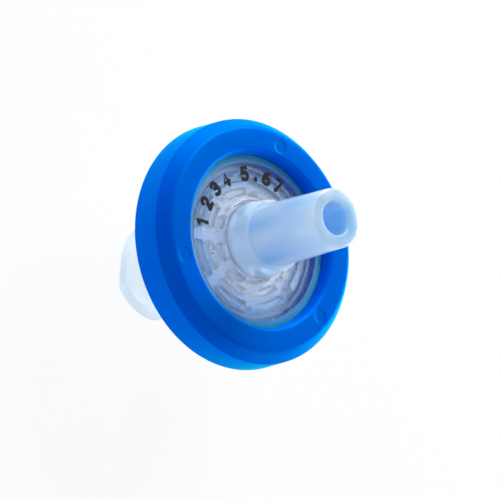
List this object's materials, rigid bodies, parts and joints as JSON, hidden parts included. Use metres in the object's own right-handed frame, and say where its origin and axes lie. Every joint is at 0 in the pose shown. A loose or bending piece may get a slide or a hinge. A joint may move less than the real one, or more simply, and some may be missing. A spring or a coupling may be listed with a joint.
{
  "type": "syringe filter",
  "caption": "Small round syringe filter: translucent halves clamp a membrane inside a moulded ring, with a female luer lock inlet and a male luer slip outlet.",
  "frame": {"origin": "centre of the open end of the female luer lock, on the surface that the filter stands on", "axes": "+Z along the filter axis towards the male luer tip; +X and +Y are free, with the first luer ear 56 degrees from +X"},
  "size_m": [0.0172, 0.0172, 0.0192],
  "materials": {
    "natural_polypropylene": "natural translucent polypropylene, satin moulded",
    "white_membrane": "white microporous film, matt",
    "clear_polypropylene": "clarified polypropylene, glossy and slightly hazy",
    "blue_polypropylene": "blue polypropylene, soft gloss"
  },
  "bodies": {
    "root": {"inlet_housing": "natural_polypropylene", "membrane": "white_membrane", "outlet_housing": "clear_polypropylene", "overmould_ring": "blue_polypropylene"}
  },
  "joints": []
}
